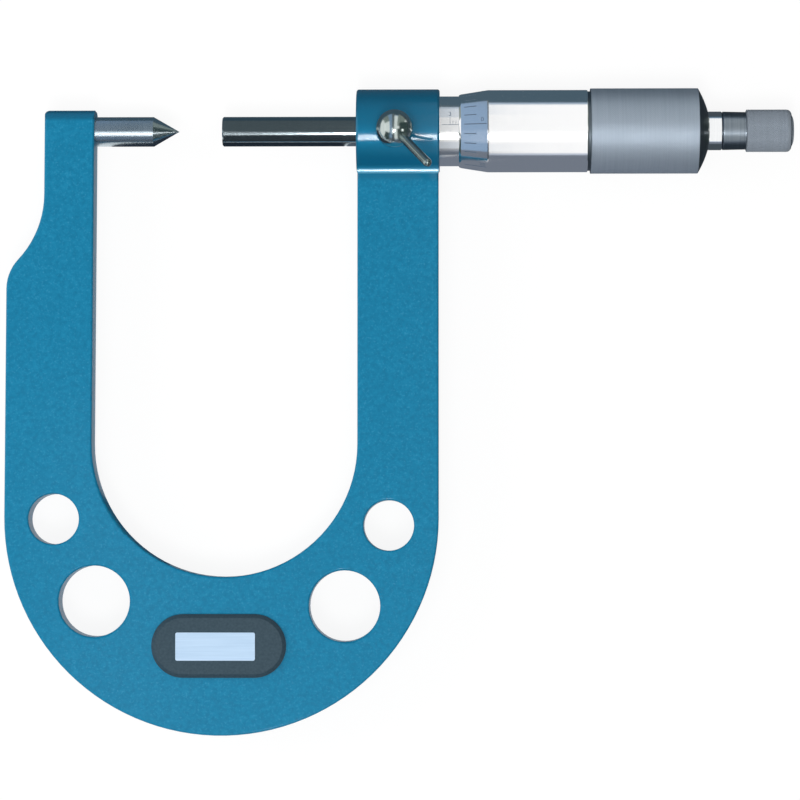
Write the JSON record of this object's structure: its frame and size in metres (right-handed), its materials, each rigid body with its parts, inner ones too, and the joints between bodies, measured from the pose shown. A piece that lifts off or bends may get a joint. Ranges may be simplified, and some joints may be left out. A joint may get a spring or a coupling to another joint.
{
  "type": "brake disc micrometer",
  "caption": "Deep-throat micrometer for brake discs: conical anvil, flat spindle, graduated sleeve and thimble, ratchet knob and spindle lock lever.",
  "frame": {"origin": "bottom centre of the bounding box, on the surface that the micrometer lies on; the measuring axis is level, at the height of the thimble's grip radius", "axes": "+X along the measuring axis from the anvil to the ratchet, +Y from the closed end of the throat to the measuring axis, +Z out of the front, where the lock lever is"},
  "size_m": [0.1726, 0.1416, 0.0323],
  "materials": {
    "frame_enamel": "fine-textured teal-blue enamel on cast iron",
    "hardened_steel": "ground and hardened",
    "satin_chrome": "satin chrome",
    "bright_chrome": "polished chrome",
    "plain_steel": "turned",
    "brass": "turned",
    "pad_plastic": "dark satin",
    "plate_metal": "bare satin plate"
  },
  "bodies": {
    "frame": {"frame": "frame_enamel", "anvil": "hardened_steel", "badge_pad": "pad_plastic", "nameplate": "plate_metal", "inner_sleeve": "plain_steel", "outer_sleeve": "satin_chrome", "adjusting_nut": "plain_steel"},
    "spindle": {"spindle": "hardened_steel"},
    "thimble": {"thimble": "satin_chrome", "ratchet_stud": "bright_chrome", "ratchet_wheel": "plain_steel", "wheel_washer": "plain_steel", "wheel_screw": "plain_steel"},
    "knob": {"ratchet_knob": "satin_chrome", "knob_cap": "satin_chrome", "ratchet_spring": "plain_steel"},
    "clutch": {"clutch_ring": "plain_steel"},
    "lock_plug": {"lock_plug": "brass"},
    "lock": {"lock_screw": "bright_chrome", "lock_lever": "bright_chrome"}
  },
  "joints": [
    {"name": "spindle_travel", "type": "slide", "parent": "frame", "child": "spindle", "axis": [1, 0, 0], "range_m": [-0.00191, 0.02349]},
    {"name": "thimble_turn", "type": "hinge", "parent": "spindle", "child": "thimble", "pos_m": [0.01295, 0.06143, 0.00935], "axis": [1, 0, 0], "range_deg": [-1080.2, 13320.2]},
    {"name": "ratchet_slip", "type": "hinge", "parent": "thimble", "child": "knob", "pos_m": [0.07065, 0.06143, 0.00935], "axis": [1, 0, 0], "continuous": true},
    {"name": "clutch_click", "type": "slide", "parent": "knob", "child": "clutch", "axis": [-1, 0, 0], "range_m": [0, 0.0005], "stiffness_N_per_m": 1500, "springref_m": -0.001, "deforming": ["ratchet_spring"]},
    {"name": "lock_feed", "type": "slide", "parent": "frame", "child": "lock_plug", "axis": [0, 0, 1], "range_m": [-0.00011666, 0.000175]},
    {"name": "lock_turn", "type": "hinge", "parent": "lock_plug", "child": "lock", "pos_m": [-0.00097, 0.06067, 0.02215], "axis": [0, 0, 1], "range_deg": [-60.1, 90.1]}
  ],
  "couplings": [
    {"joint": "thimble_turn", "follows": "spindle_travel", "rad_per_m": 9894.8},
    {"joint": "lock_turn", "follows": "lock_feed", "rad_per_m": 8976}
  ]
}
